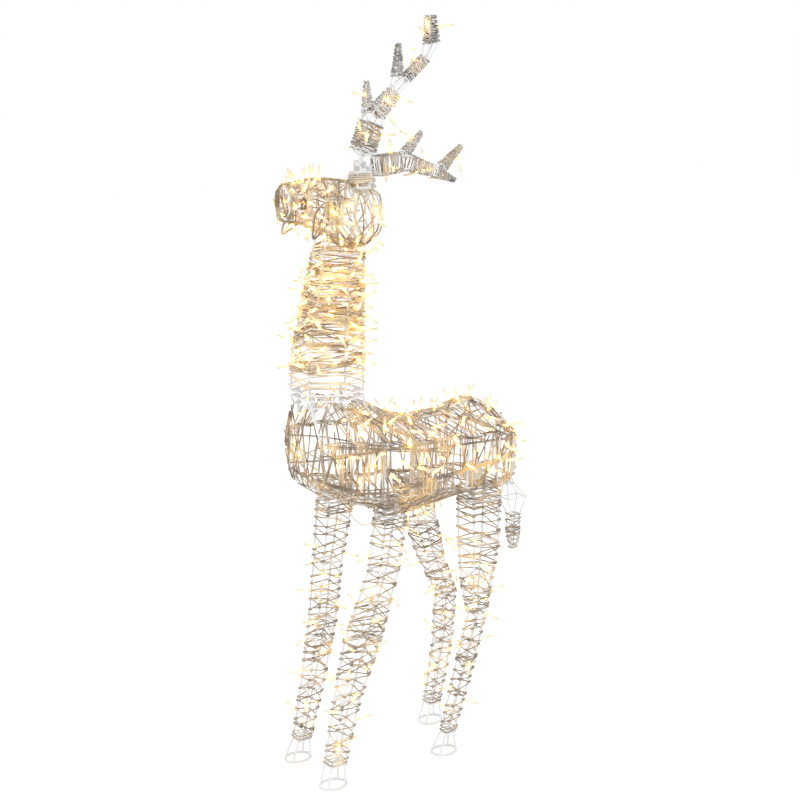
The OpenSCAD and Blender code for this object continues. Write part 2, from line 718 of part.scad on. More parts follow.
module leg_frame(leg) {
    rings = rect_rings(leg);
    cage(rect_rings(wound(leg)));
    long_wires([rings[len(rings) - 2], rings[len(rings) - 1]]);
    top = leg[0];
    bar([top[0], top[1] - top[4], top[2]], [top[0], top[1] + top[4], top[2]]);
    for (foot = pin_feet(leg)) {
        bead(foot, pin_d);
        bar(foot, foot + [0, 0, leg_pin_l], pin_d);
    }
}

module leg_winding(leg)
    sleeve(rect_rings(wound(leg), outer_face), rect_rings(wound(leg), inner_face));

module leg_lamps(leg, seed)
    ring_lamps(rect_rings(wound(leg), outer_face), leg_lamp_count, seed, 0.5, len(leg) - 2.15);

module hoof(leg) {
    s = leg[len(leg) - 1];
    points = [for (k = [0:hoof_points - 1]) [s[0] + hoof_half_w * cos(360 * k / hoof_points),
        s[1] + hoof_half_l * sin(360 * k / hoof_points), hoof_wire_d / 2]];
    flat_loop(points, hoof_wire_d);
}

module leg_front_left_frame() color(white_wire) translate(shift) leg_frame(leg_front_left);
module leg_front_left_winding() color(rattan) translate(shift) leg_winding(leg_front_left);
module leg_front_left_lamps() color(lamp_glow) translate(shift) leg_lamps(leg_front_left, 201);
module hoof_front_left() color(white_wire) translate(shift) hoof(leg_front_left);
module leg_front_right_frame() color(white_wire) translate(shift) leg_frame(leg_front_right);
module leg_front_right_winding() color(rattan) translate(shift) leg_winding(leg_front_right);
module leg_front_right_lamps() color(lamp_glow) translate(shift) leg_lamps(leg_front_right, 251);
module hoof_front_right() color(white_wire) translate(shift) hoof(leg_front_right);
module leg_rear_left_frame() color(white_wire) translate(shift) leg_frame(leg_rear_left);
module leg_rear_left_winding() color(rattan) translate(shift) leg_winding(leg_rear_left);
module leg_rear_left_lamps() color(lamp_glow) translate(shift) leg_lamps(leg_rear_left, 301);
module hoof_rear_left() color(white_wire) translate(shift) hoof(leg_rear_left);
module leg_rear_right_frame() color(white_wire) translate(shift) leg_frame(leg_rear_right);
module leg_rear_right_winding() color(rattan) translate(shift) leg_winding(leg_rear_right);
module leg_rear_right_lamps() color(lamp_glow) translate(shift) leg_lamps(leg_rear_right, 351);
module hoof_rear_right() color(white_wire) translate(shift) hoof(leg_rear_right);

torso_hoops();
torso_rails();
neck_collar();
neck_sockets();
leg_sockets();
winding_back_left();
winding_back_right();
winding_flank_left();
winding_flank_right();
winding_belly_left();
winding_belly_right();
winding_ridge();
winding_keel();
winding_chest();
winding_rump();
torso_lamps();
torso_lamp_cable();
power_inlet();
tail_frame();
tail_winding();
neck_frame();
neck_pins();
neck_winding();
neck_lamps();
head_hoops();
head_rails();
head_winding();
muzzle_winding();
head_lamps();
ear_left();
ear_right();
antler_bracket_left();
antler_bracket_right();
antler_bolts();
stub_winding_left();
stub_winding_right();
antler_left_hoops();
antler_left_rails();
antler_left_winding();
antler_left_lamps();
antler_right_hoops();
antler_right_rails();
antler_right_winding();
antler_right_lamps();
leg_front_left_frame();
leg_front_left_winding();
leg_front_left_lamps();
hoof_front_left();
leg_front_right_frame();
leg_front_right_winding();
leg_front_right_lamps();
hoof_front_right();
leg_rear_left_frame();
leg_rear_left_winding();
leg_rear_left_lamps();
hoof_rear_left();
leg_rear_right_frame();
leg_rear_right_winding();
leg_rear_right_lamps();
hoof_rear_right();
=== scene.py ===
"""Looks of the light-up yard reindeer, built around its packed wire frame.

The white wire frame stays as the frame has it. Every wound skin is replaced by the cords
that are wound there, and every plain lamp by a clear holder with a glowing core.
Lengths are in metres. The animal faces -Y and its left side is +X.
"""

import json
import math

import bpy
import numpy as np
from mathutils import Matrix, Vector


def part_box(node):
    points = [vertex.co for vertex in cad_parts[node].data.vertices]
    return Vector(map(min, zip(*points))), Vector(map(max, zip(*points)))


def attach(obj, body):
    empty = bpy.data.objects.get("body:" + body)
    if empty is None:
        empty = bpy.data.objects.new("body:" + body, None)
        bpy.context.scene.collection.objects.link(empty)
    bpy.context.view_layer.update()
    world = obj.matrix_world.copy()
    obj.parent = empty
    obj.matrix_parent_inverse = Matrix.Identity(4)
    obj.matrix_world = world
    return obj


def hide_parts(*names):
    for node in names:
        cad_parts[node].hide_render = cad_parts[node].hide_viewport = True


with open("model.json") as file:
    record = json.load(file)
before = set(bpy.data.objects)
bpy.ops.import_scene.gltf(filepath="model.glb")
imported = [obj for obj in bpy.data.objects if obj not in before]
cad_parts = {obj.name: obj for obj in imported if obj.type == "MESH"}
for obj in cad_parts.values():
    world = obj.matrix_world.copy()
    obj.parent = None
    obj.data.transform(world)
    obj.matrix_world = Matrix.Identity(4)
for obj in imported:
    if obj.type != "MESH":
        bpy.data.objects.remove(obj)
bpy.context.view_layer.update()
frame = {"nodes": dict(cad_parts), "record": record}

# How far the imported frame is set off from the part's own coordinates
SHIFT = np.array([-0.002, -0.026, 0.0])
UP = np.array([0.0, 0.0, 1.0])
SIDE = np.array([1.0, 0.0, 0.0])
LEGS = ("front_left", "front_right", "rear_left", "rear_right")

WIRE_R = 0.002
THIN_WIRE_R = 0.0015
CORD_R = 0.0014
LEG_CORD_R = 0.0012
THIN_CORD_R = 0.001
# How far the outer face of the frame's plain winding skins lies off the wires' centre lines
SKIN_OUT = 0.006
TAIL_SKIN_OUT = 0.0045
# How much further than tight a cord may lie off a wire
SLACK = 0.0012
# The bands between the torso's long wires, numbered like the wire they start from
TORSO_BANDS = ("back_left", "flank_left", "belly_left", "keel", "belly_right", "flank_right",
               "back_right", "ridge")


# ---------- reading the frame ----------


def node_points(name):
    """A CAD node's corner points, each once, and its faces' numbers into them."""
    mesh = frame["nodes"][name].data
    co = np.zeros(len(mesh.vertices) * 3)
    mesh.vertices.foreach_get("co", co)
    co = co.reshape(-1, 3)
    _, first, same = np.unique(np.round(co, 5), axis=0, return_index=True, return_inverse=True)
    same = same.ravel()
    return co[first], [[same[i] for i in face.vertices] for face in mesh.polygons]


def loose_parts(name):
    """The points of each separate solid in a CAD node."""
    points, faces = node_points(name)
    lead = list(range(len(points)))

    def root(i):
        while lead[i] != i:
            lead[i] = lead[lead[i]]
            i = lead[i]
        return i

    for face in faces:
        for other in face[1:]:
            lead[root(other)] = root(face[0])
    groups = {}
    for i in range(len(points)):
        groups.setdefault(root(i), []).append(i)
    return [points[group] for _, group in sorted(groups.items())]


def levels(name, axis):
    """The node's points in groups that share their place along an axis, in order."""
    gap = 0.0004
    points = node_points(name)[0]
    order = points[:, axis].argsort(kind="stable")
    cuts = np.flatnonzero(np.diff(points[order, axis]) > gap) + 1
    return [points[group] for group in np.split(order, cuts)]


def middle(points):
    return (points.min(0) + points.max(0)) / 2


def half_sizes(points):
    return (points.max(0) - points.min(0)) / 2


def rect_stack(name, skin=SKIN_OUT):
    """The four long wires of a leg or the tail, section by section, from the top down."""
    stack = []
    for points in reversed(levels(name, 2)):
        half = half_sizes(points) - skin
        stack.append([middle(points) + (sx * half[0], sy * half[1], 0)
                      for sx, sy in ((1, 1), (1, -1), (-1, -1), (-1, 1))])
    return np.array(stack)


def neck_stack():
    """The neck's six long wires, from the base up."""
    stack = []
    for points in levels("neck_winding", 2):
        radius = half_sizes(points)[0] - SKIN_OUT
        turns = [math.radians(60 * k) for k in range(6)]
        stack.append([middle(points) + (radius * math.cos(a), -radius * math.sin(a), 0) for a in turns])
    return np.array(stack)


def head_sections():
    """Middle, half width and half height of the head's octagons, from muzzle to nape."""
    spread = math.cos(math.radians(22.5))
    groups = levels("muzzle_winding", 1)[:-1] + levels("head_winding", 1)
    return [(middle(p), half_sizes(p)[0] / spread - SKIN_OUT, half_sizes(p)[2] / spread - SKIN_OUT)
            for p in groups]


def torso_stack():
    """The torso's eight long wires from chest to rump, numbered from the top left edge down and round."""
    stations = [points[:, 1].mean() for points in levels("winding_flank_left", 1)]
    wires = []
    for tube in loose_parts("torso_rails"):
        nearest = np.abs(tube[:, 1, None] - stations).argmin(1)
        wires.append([tube[nearest == i].mean(0) for i in range(len(stations))])
    wires = np.array(wires)
    centre = wires.mean((0, 1))
    around = [math.atan2(*(wire.mean(0) - centre)[[0, 2]]) % (2 * math.pi) for wire in wires]
    return wires[np.argsort(around)].transpose(1, 0, 2)


def antler_stretches(side):
    """The antler's wound stretches, each as two squares of four corners; a tine ends almost in a point."""
    parts = loose_parts(f"antler_{side}_hoops")
    loop_points = 32
    knob_size = 0.009
    tip_half = 0.0016
    aligned = 0.999
    loops = [p for p in parts if len(p) == loop_points]
    knobs = [middle(p) for p in parts if len(p) != loop_points and np.ptp(p, axis=0).max() < knob_size]
    squares = []
    for loop in loops:
        centre = loop.mean(0)
        normal = np.linalg.svd(loop - centre)[2][2]
        across = unit(np.cross(normal, SIDE))
        squares.append((centre, normal, across, loop))

    def corners(square, across):
        centre, _, _, loop = square
        sides = np.stack([(loop - centre) @ SIDE > 0, (loop - centre) @ across > 0], 1)
        order = ((True, True), (True, False), (False, False), (False, True))
        return np.array([loop[(sides == pair).all(1)].mean(0) for pair in order])

    found, used = [], set()
    for i, a in enumerate(squares):
        for j, b in enumerate(squares[i + 1:], i + 1):
            way = unit(b[0] - a[0])
            if not used & {i, j} and abs(a[1] @ b[1]) > aligned and abs(a[1] @ way) > aligned:
                across = unit(np.cross(way, SIDE))
                found.append((corners(a, across), corners(b, across)))
                used |= {i, j}
    for i, a in enumerate(squares):
        if i not in used:
            knob = max(knobs, key=lambda k: abs(unit(k - a[0]) @ a[1]) - 2 * np.linalg.norm(k - a[0]))
            across = unit(np.cross(knob - a[0], SIDE))
            order = ((1, 1), (1, -1), (-1, -1), (-1, 1))
            tip = np.array([knob + tip_half * (s * SIDE + t * across) for s, t in order])
            found.append((corners(a, across), tip))
    return found


# ---------- lines ----------


def unit(v):
    return v / np.linalg.norm(v)


class Wires:
    """A stack of matching rings of frame wire, with places along it measured in metres."""

    def __init__(self, stack):
        self.stack = np.asarray(stack, float)
        steps = np.linalg.norm(np.diff(self.stack.mean(1), axis=0), axis=1)
        self.along = np.concatenate([[0], np.cumsum(steps)])
        self.length = self.along[-1]
        self.count = self.stack.shape[1]

    def _place(self, s):
        s = min(max(s, 0.0), self.length)
        i = min(int(np.searchsorted(self.along, s, side="right")) - 1, len(self.along) - 2)
        return i, (s - self.along[i]) / (self.along[i + 1] - self.along[i])

    def ring(self, s):
        i, t = self._place(s)
        return self.stack[i] * (1 - t) + self.stack[i + 1] * t

    def wire(self, k, s):
        return self.ring(s)[k % self.count]

    def way(self, k, s):
        i, _ = self._place(s)
        return unit(self.stack[i + 1, k % self.count] - self.stack[i, k % self.count])

    def bend(self, k, s, reach, before, after):
        """Three points of a cord that goes round wire k at s, off its centre by reach."""
        ring, k = self.ring(s), k % self.count
        away = unit(ring[k] - ring.mean(0))
        way = self.way(k, s)
        faces = []
        for span in (ring[k] - before, after - ring[k]):
            face = np.cross(span, way)
            faces.append(unit(face) if np.linalg.norm(face) > 1e-9 else away)
        sign = 1.0
        if self.count > 2:
            sign = 1.0 if faces[0] @ away > 0 or faces[1] @ away > 0 else -1.0
        outs = (sign * faces[0], away, sign * faces[1])
        return [ring[k] + reach * out for out in outs]


def wrap(wires, start, end, pitch, rng, wander=0.4, reach=WIRE_R + CORD_R, loose=0.0, slant=0.0,
         knots=False):
    """One cord wound round all the wires from start to end, its crossings off by wander times the pitch.

    slant sets every second crossing further on, and knots takes the cord once round each wire.
    """
    marks = []
    n = wires.count
    turns = max(1, round(abs(end - start) / pitch))
    for i in range(turns * n + 1):
        s = start + (end - start) * i / (turns * n)
        s += rng.uniform(-1, 1) * wander * pitch + (i % 2) * slant
        marks.append((i % n, min(max(s, min(start, end)), max(start, end) + slant)))
    return over(wires, marks, rng, reach, loose, knots)


def over(wires, marks, rng, reach=WIRE_R + CORD_R, loose=0.0, knots=False):
    """A cord over the wires at marks, a list of wire number and place. loose lets it bow between them."""
    line = []
    for i, (k, s) in enumerate(marks):
        before = wires.wire(*marks[max(i - 1, 0)])
        after = wires.wire(*marks[min(i + 1, len(marks) - 1)])
        bent = wires.bend(k, s, reach + rng.uniform(0, SLACK), before, after)
        if knots:
            step = CORD_R * wires.way(k, s)
            inner = 2 * wires.wire(k, s) - bent[1]
            bent = [bent[0] - step, bent[1] - step, bent[2] - step / 2, inner, bent[0] + step / 2,
                    bent[1] + step, bent[2] + step]
        if not knots and i == 0:
            bent = bent[1:]
        if not knots and i == len(marks) - 1:
            bent = bent[:-1]
        if line and loose:
            centre = wires.ring(s).mean(0)
            mid = (line[-1] + bent[0]) / 2
            line.append(mid + unit(mid - centre) * rng.uniform(-0.3, 1) * loose + rng.normal(0, loose / 4, 3))
        line += bent
    return np.array(line)


def smooth(points, steps=5):
    """A curve through the points, each stretch in a few steps."""
    p = np.asarray(points, float)
    p = np.concatenate([[2 * p[0] - p[1]], p, [2 * p[-1] - p[-2]]])
    out = []
    for i in range(1, len(p) - 2):
        for t in np.linspace(0, 1, steps, endpoint=False):
            a = 2 * p[i]
            b = p[i + 1] - p[i - 1]
            c = 2 * p[i - 1] - 5 * p[i] + 4 * p[i + 1] - p[i + 2]
            d = 3 * p[i] - p[i - 1] - 3 * p[i + 1] + p[i + 2]
            out.append((a + b * t + c * t * t + d * t ** 3) / 2)
    out.append(p[-2])
    return np.array(out)


def closed(points, steps=5):
    """A smooth closed loop through the points, as a line that ends where it starts."""
    n = len(points)
    line = smooth([points[i % n] for i in range(-2, n + 3)], steps)
    return line[2 * steps:(n + 2) * steps + 1]


# ---------- pieces from lines ----------


def tube_rings(line, radius, sides, flat, loop):
    """Points round a line, turned along with it. flat squeezes the cord one way."""
    ways = np.roll(line, -1, 0) - np.roll(line, 1, 0) if loop else np.gradient(line, axis=0)
    ways /= np.linalg.norm(ways, axis=1)[:, None] + 1e-12
    side = np.cross(ways[0], UP if abs(ways[0][2]) < 0.9 else SIDE)
    angles = np.linspace(0, 2 * math.pi, sides, endpoint=False)
    rings = []
    for point, way in zip(line, ways):
        side = side - way * (side @ way)
        side /= np.linalg.norm(side) + 1e-12
        other = np.cross(way, side)
        around = np.cos(angles)[:, None] * side + flat * np.sin(angles)[:, None] * other
        rings.append(point + radius * around)
    return rings


def piece_of_lines(name, lines, radius=CORD_R, sides=8, flat=0.85, rng=None):
    """One mesh of round cords along the lines, with each cord's own tone and a map along it."""
    rng = rng or np.random.default_rng(len(name))
    verts, quads, tones, maps, done = [], [], [], [], 0
    for line in lines:
        loop = np.linalg.norm(line[0] - line[-1]) < 1e-6
        line = tidy_line(line[:-1] if loop else line)
        if len(line) < 3:
            continue
        rings = tube_rings(line, radius, sides, flat, loop)
        n = len(rings)
        verts.append(np.concatenate(rings))
        i, k = np.meshgrid(np.arange(n - 1), np.arange(sides), indexing="ij")
        a, b = i * sides + k, i * sides + (k + 1) % sides
        quads.append(np.stack([a, b, b + sides, a + sides], -1).reshape(-1, 4) + done)
        gone = np.concatenate([[0], np.cumsum(np.linalg.norm(np.diff(line, axis=0), axis=1))])
        start = rng.uniform(0, 5)
        corner = np.stack([np.stack([k, k + 1, k + 1, k], -1) / sides,
                           gone[np.stack([i, i, i + 1, i + 1], -1)] + start], -1)
        maps.append(corner.reshape(-1, 2))
        tones.append(np.full(n * sides, rng.uniform(0, 1)))
        ends = joined_ends(rings, sides) if loop else capped_ends(n, sides)
        quads.append(ends + done)
        maps.append(np.zeros((4 * len(ends), 2)))
        done += n * sides
    obj = mesh_piece(name, np.concatenate(verts), np.concatenate(quads))
    obj.data.attributes.new("tone", "FLOAT", "POINT").data.foreach_set(
        "value", np.concatenate(tones).astype(np.float32))
    uv = obj.data.uv_layers.new(name="along")
    uv.data.foreach_set("uv", np.concatenate(maps).astype(np.float32).ravel())
    return obj


def capped_ends(n, sides):
    """Four-cornered faces that close both ends of a tube of n rings."""
    caps = []
    for edge in (list(range(sides - 1, -1, -1)), list(range((n - 1) * sides, n * sides))):
        caps += [[edge[0], *edge[2 * j + 1:2 * j + 4]] for j in range((sides - 2) // 2)]
    return np.array(caps)


def joined_ends(rings, sides):
    """Faces from a closed tube's last ring to its first, whose points may be turned against each other."""
    turn = min(range(sides), key=lambda o: np.linalg.norm(np.roll(rings[0], -o, 0) - rings[-1]))
    k = np.arange(sides)
    a = (len(rings) - 1) * sides + k
    b = (len(rings) - 1) * sides + (k + 1) % sides
    return np.stack([a, b, (k + 1 + turn) % sides, (k + turn) % sides], -1)


def tidy_line(line):
    """The line without points that lie on the one before."""
    least = 0.0004
    kept = [line[0]]
    for point in line[1:]:
        if np.linalg.norm(point - kept[-1]) > least:
            kept.append(point)
    return np.array(kept)


def mesh_piece(name, points, quads):
    """A smooth-shaded mesh object from points and four-cornered faces."""
    mesh = bpy.data.meshes.new(name)
    mesh.vertices.add(len(points))
    mesh.vertices.foreach_set("co", np.asarray(points, np.float32).ravel())
    mesh.loops.add(len(quads) * 4)
    mesh.loops.foreach_set("vertex_index", np.asarray(quads, np.int32).ravel())
    mesh.polygons.add(len(quads))
    mesh.polygons.foreach_set("loop_start", np.arange(len(quads), dtype=np.int32) * 4)
    mesh.polygons.foreach_set("use_smooth", np.ones(len(quads), bool))
    mesh.update(calc_edges=True)
    mesh.validate()
    obj = bpy.data.objects.new(name, mesh)
    bpy.context.scene.collection.objects.link(obj)
    return obj


def finish_piece(obj, material, body, slot, *nodes):
    """Gives a piece its material and body, and hides the CAD nodes that it stands for. The slot is not used.
    """
    obj.data.materials.append(material)
    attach(obj, body)
    if nodes:
        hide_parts(*nodes)
    return obj


# ---------- materials ----------


def new_material(name):
    material = bpy.data.materials.new(name)
    material.use_nodes = True
    return material, material.node_tree, material.node_tree.nodes["Principled BSDF"]


def add(tree, kind, links=(), **values):
    """A shader node with values set on its properties or inputs, and links to its inputs."""
    node = tree.nodes.new(kind)
    for key, value in values.items():
        if hasattr(node, key):
            setattr(node, key, value)
        else:
            node.inputs[key.replace("_", " ")].default_value = value
    for socket, source in links:
        tree.links.new(source, node.inputs[socket])
    return node


def ramp(tree, source, stops):
    node = add(tree, "ShaderNodeValToRGB", [("Fac", source)])
    for _ in range(len(stops) - 2):
        node.color_ramp.elements.new(0.5)
    for element, (place, colour) in zip(node.color_ramp.elements, stops):
        element.position = place
        element.color = (*colour, 1)
    return node


def halfway(a, b):
    return [(p + q) / 2 for p, q in zip(a, b)]


def cord_material(name, dark, light, painted_lamp_glow, rough):
    """Synthetic rattan: streaks along each cord, its own tone, painted lamp glow in gold patches laid by a
    noise, fine ribs.
    """
    material, tree, shader = new_material(name)
    tone = add(tree, "ShaderNodeAttribute", attribute_name="tone")
    along = add(tree, "ShaderNodeUVMap", uv_map="along")
    stretch = add(tree, "ShaderNodeMapping", [("Vector", along.outputs["UV"])])
    stretch.inputs["Scale"].default_value = (9, 30, 1)
    streaks = add(tree, "ShaderNodeTexNoise", [("Vector", stretch.outputs["Vector"])],
                  Scale=1.0, Detail=4.0, Roughness=0.6)
    place = add(tree, "ShaderNodeTexCoord")
    patches = add(tree, "ShaderNodeTexNoise", [("Vector", place.outputs["Object"])], Scale=40.0, Detail=2.0)
    own = add(tree, "ShaderNodeMath", [(0, tone.outputs["Fac"]), (1, streaks.outputs["Fac"])],
              operation="ADD")
    mixed = add(tree, "ShaderNodeMath", [(0, patches.outputs["Fac"]), (2, own.outputs[0])],
                operation="MULTIPLY_ADD")
    mixed.inputs[1].default_value = 2.0
    share = add(tree, "ShaderNodeMath", [(0, mixed.outputs[0])], operation="MULTIPLY")
    share.inputs[1].default_value = 0.25
    colours = ramp(tree, share.outputs[0], [(0.34, dark), (0.5, halfway(dark, light)), (0.66, light)])
    # Painted lamp glow: noise patches of the cord mixed towards a gold colour that stands for lamp light
    shine = add(tree, "ShaderNodeTexNoise", [("Vector", place.outputs["Object"])], Scale=17.0, Detail=1.0)
    lit = ramp(tree, shine.outputs["Fac"], [(0.5, (0, 0, 0)), (0.68, (1, 1, 1))])
    painted_glow_mix = add(tree, "ShaderNodeMix",
                 [("Factor", lit.outputs["Color"]), ("A", colours.outputs["Color"])], data_type="RGBA")
    painted_glow_mix.inputs["B"].default_value = (*painted_lamp_glow, 1)
    tree.links.new(painted_glow_mix.outputs["Result"], shader.inputs["Base Color"])
    bump = add(tree, "ShaderNodeBump", [("Height", streaks.outputs["Fac"])], Strength=0.35, Distance=0.0004)
    tree.links.new(bump.outputs["Normal"], shader.inputs["Normal"])
    shader.inputs["Roughness"].default_value = rough
    shader.inputs["Specular IOR Level"].default_value = 0.45
    return material


def coated_material(name, colour, rough, metallic=0.0):
    """A painted, moulded or plated surface with fine grain and faint variation."""
    grain, cloud = 400.0, 9.0
    material, tree, shader = new_material(name)
    place = add(tree, "ShaderNodeTexCoord")
    grains = add(tree, "ShaderNodeTexNoise", [("Vector", place.outputs["Object"])], Scale=grain, Detail=3.0)
    clouds = add(tree, "ShaderNodeTexNoise", [("Vector", place.outputs["Object"])], Scale=cloud, Detail=2.0)
    colours = ramp(tree, clouds.outputs["Fac"], [(0.3, [0.9 * c for c in colour]), (0.7, colour)])
    tree.links.new(colours.outputs["Color"], shader.inputs["Base Color"])
    bump = add(tree, "ShaderNodeBump", [("Height", grains.outputs["Fac"])], Strength=0.15, Distance=0.0002)
    tree.links.new(bump.outputs["Normal"], shader.inputs["Normal"])
    rough_map = add(tree, "ShaderNodeMapRange", [("Value", grains.outputs["Fac"])])
    rough_map.inputs["To Min"].default_value = rough - 0.08
    rough_map.inputs["To Max"].default_value = rough + 0.1
    tree.links.new(rough_map.outputs["Result"], shader.inputs["Roughness"])
    shader.inputs["Metallic"].default_value = metallic
    return material


def clear_material(name, near, far, glow):
    """Clear moulded plastic that carries the light of its lamp, brightest near the core."""
    material, tree, shader = new_material(name)
    along = add(tree, "ShaderNodeAttribute", attribute_name="tone")
    colours = ramp(tree, along.outputs["Fac"], [(0.0, near), (0.25, halfway(near, far)), (0.6, far)])
    tree.links.new(colours.outputs["Color"], shader.inputs["Base Color"])
    tree.links.new(colours.outputs["Color"], shader.inputs["Emission Color"])
    fall = add(tree, "ShaderNodeMapRange", [("Value", along.outputs["Fac"])])
    fall.inputs["To Min"].default_value = glow
    fall.inputs["To Max"].default_value = glow * 0.12
    tree.links.new(fall.outputs["Result"], shader.inputs["Emission Strength"])
    place = add(tree, "ShaderNodeTexCoord")
    ripples = add(tree, "ShaderNodeTexNoise", [("Vector", place.outputs["Object"])], Scale=300.0, Detail=1.0)
    bump = add(tree, "ShaderNodeBump", [("Height", ripples.outputs["Fac"])], Strength=0.2, Distance=0.0003)
    tree.links.new(bump.outputs["Normal"], shader.inputs["Normal"])
    shader.inputs["Roughness"].default_value = 0.18
    shader.inputs["Transmission Weight"].default_value = 0.3
    shader.inputs["IOR"].default_value = 1.2
    return material


def glow_material():
    material, tree, shader = new_material("lamp_core")
    place = add(tree, "ShaderNodeTexCoord")
    cells = add(tree, "ShaderNodeTexNoise", [("Vector", place.outputs["Object"])], Scale=60.0, Detail=1.0)
    colours = ramp(tree, cells.outputs["Fac"], [(0.3, (1.0, 0.68, 0.24)), (0.7, (1.0, 0.80, 0.42))])
    tree.links.new(colours.outputs["Color"], shader.inputs["Emission Color"])
    tree.links.new(colours.outputs["Color"], shader.inputs["Base Color"])
    shader.inputs["Emission Strength"].default_value = 30.0
    return material


WHITE_WIRE = coated_material("white_powder_coat", (0.77, 0.78, 0.79), 0.42)
IVORY = coated_material("ivory_plastic", (0.80, 0.77, 0.68), 0.5)
ZINC = coated_material("zinc_plate", (0.60, 0.60, 0.62), 0.35, metallic=1.0)
RATTAN = cord_material("rattan_cord", dark=(0.15, 0.11, 0.075), light=(0.58, 0.47, 0.35),
                       painted_lamp_glow=(0.88, 0.63, 0.30), rough=0.55)
# Painted lamp light: a lighter, warmer copy of the rattan, used on the neck and head
LIT_RATTAN = cord_material("rattan_cord_lit", dark=(0.24, 0.165, 0.09), light=(0.80, 0.64, 0.41),
                           painted_lamp_glow=(1.0, 0.80, 0.40), rough=0.55)
SILVER = cord_material("silver_cord", dark=(0.09, 0.082, 0.075), light=(0.66, 0.62, 0.57),
                       painted_lamp_glow=(0.72, 0.60, 0.42), rough=0.5)
HOLDER = clear_material("clear_holder", near=(1.0, 0.72, 0.32), far=(0.84, 0.72, 0.56), glow=0.32)
CABLE = coated_material("clear_cable", (0.80, 0.66, 0.58), 0.25)
CORE = glow_material()


# ---------- camera and the one free cable ----------


def make_camera():
    """The camera, low and to the animal's front left."""
    azimuth, elevation, distance = math.radians(57), math.radians(12), 2.8
    target = Vector((0, 0, 0.75)) + Vector(SHIFT)
    back = Vector((math.sin(azimuth) * math.cos(elevation), -math.cos(azimuth) * math.cos(elevation),
                   math.sin(elevation)))
    data = bpy.data.cameras.new("camera")
    data.lens = 63
    data.sensor_width = 36
    camera = bpy.data.objects.new("camera", data)
    camera.location = target + back * distance
    camera.rotation_mode = "QUATERNION"
    camera.rotation_quaternion = (-back).to_track_quat("-Z", "Y")
    bpy.context.scene.collection.objects.link(camera)
    bpy.context.scene.camera = camera


def belly_cable():
    """The clear cable that sags below the belly from one front leg's top to the other's."""
    diameter = 0.0024
    route = np.array([
        (-40, -110, 552), (-34, -108, 540), (-22, -103, 522), (-8, -97, 510),
        (8, -90, 506), (22, -84, 514), (32, -80, 530), (38, -78, 548),
    ]) / 1000 + SHIFT
    line = smooth(route, 4)
    cable = piece_of_lines("belly_cable", [line], diameter / 2, sides=10, flat=1.0)
    finish_piece(cable, CABLE, "torso", "clear_cable", "torso_lamp_cable")


# ---------- windings ----------


def leg_windings(rng):
    """Criss-cross turns down each leg, closer at both ends, with a few loose extra stretches."""
    pitch, top_pitch, band_pitch, extra_pitch = 0.0185, 0.009, 0.0055, 0.03
    top_start, top_end, band, extras = 0.004, 0.03, 0.014, 3
    for leg in LEGS:
        wires = Wires(rect_stack(f"leg_{leg}_winding"))
        foot = wires.length - band
        lines = [wrap(wires, top_start / 2, foot, pitch, rng, wander=0.5, loose=0.003, knots=True),
                 wrap(wires, top_start, top_end, top_pitch, rng, wander=0.6),
                 wrap(wires, foot, wires.length - 0.001, band_pitch, rng, wander=0.3)]
        for _ in range(extras):
            start = rng.uniform(0.05, foot - 0.15)
            end = start + rng.uniform(0.05, 0.1)
            lines.append(wrap(wires, start, end, extra_pitch, rng, wander=0.5, loose=0.002))
        cord = piece_of_lines(f"leg_{leg}_cord", lines, LEG_CORD_R, rng=rng)
        finish_piece(cord, RATTAN, f"leg_{leg}", "rattan_cord", f"leg_{leg}_winding")


def leg_top_windings(rng):
    """Turns that close the space between each leg and the torso's lower side edge, round the sockets."""
    low_edge = torso_stack()[:, 2]
    gap, pitch = 0.006, 0.006
    lines = []
    for leg in LEGS:
        low = rect_stack(f"leg_{leg}_winding")[0] + gap * UP
        high = low.copy()
        high[:, 2] = np.interp(middle(low)[1], low_edge[:, 1], low_edge[:, 2])
        wires = Wires([low, high])
        lines.append(wrap(wires, 0.0, wires.length, pitch, rng, wander=0.7, loose=0.002))
    cord = piece_of_lines("leg_top_cord", lines, rng=rng)
    finish_piece(cord, RATTAN, "torso", "rattan_cord")


def neck_winding(rng):
    """Dense turns round the neck in bunches, with open windows between them."""
    stack = neck_stack()
    throat_share, throat_step = 0.86, (0, 0.003, 0.022)
    throat = middle(stack[-1]) + throat_share * (stack[-1] - middle(stack[-1])) + throat_step
    wires = Wires([*stack, throat])
    # Where each bunch starts and ends above the bare base ring, and its pitch
    bunches = (
        (0.001, 0.028, 0.008), (0.028, 0.058, 0.0055), (0.084, 0.094, 0.0035), (0.099, 0.112, 0.006),
        (0.136, 0.160, 0.0055), (0.166, 0.200, 0.006), (0.204, 0.232, 0.0045), (0.236, wires.length, 0.006),
    )
    # Middle of each slanting bunch, how far it tilts and its number of turns
    slanting = ((0.143, 0.030, 5), (0.214, 0.018, 3), (0.044, -0.014, 3))
    loose_stretches, loose_pitch, longest = 18, 0.022, 0.06
    lines = [wrap(wires, start, end, pitch, rng, wander=0.9, loose=0.002) for start, end, pitch in bunches]
    for place, tilt, turns in slanting:
        lines.append(tilted_turns(wires, place, tilt, turns, rng))
    for _ in range(loose_stretches):
        start = rng.uniform(0.0, wires.length - longest)
        end = start + rng.uniform(longest / 3, longest)
        lines.append(wrap(wires, start, end, loose_pitch, rng, wander=0.9, loose=0.004))
    cord = piece_of_lines("neck_cord", lines, THIN_CORD_R * 1.2, rng=rng)
    finish_piece(cord, LIT_RATTAN, "neck_and_head", "rattan_cord", "neck_winding")


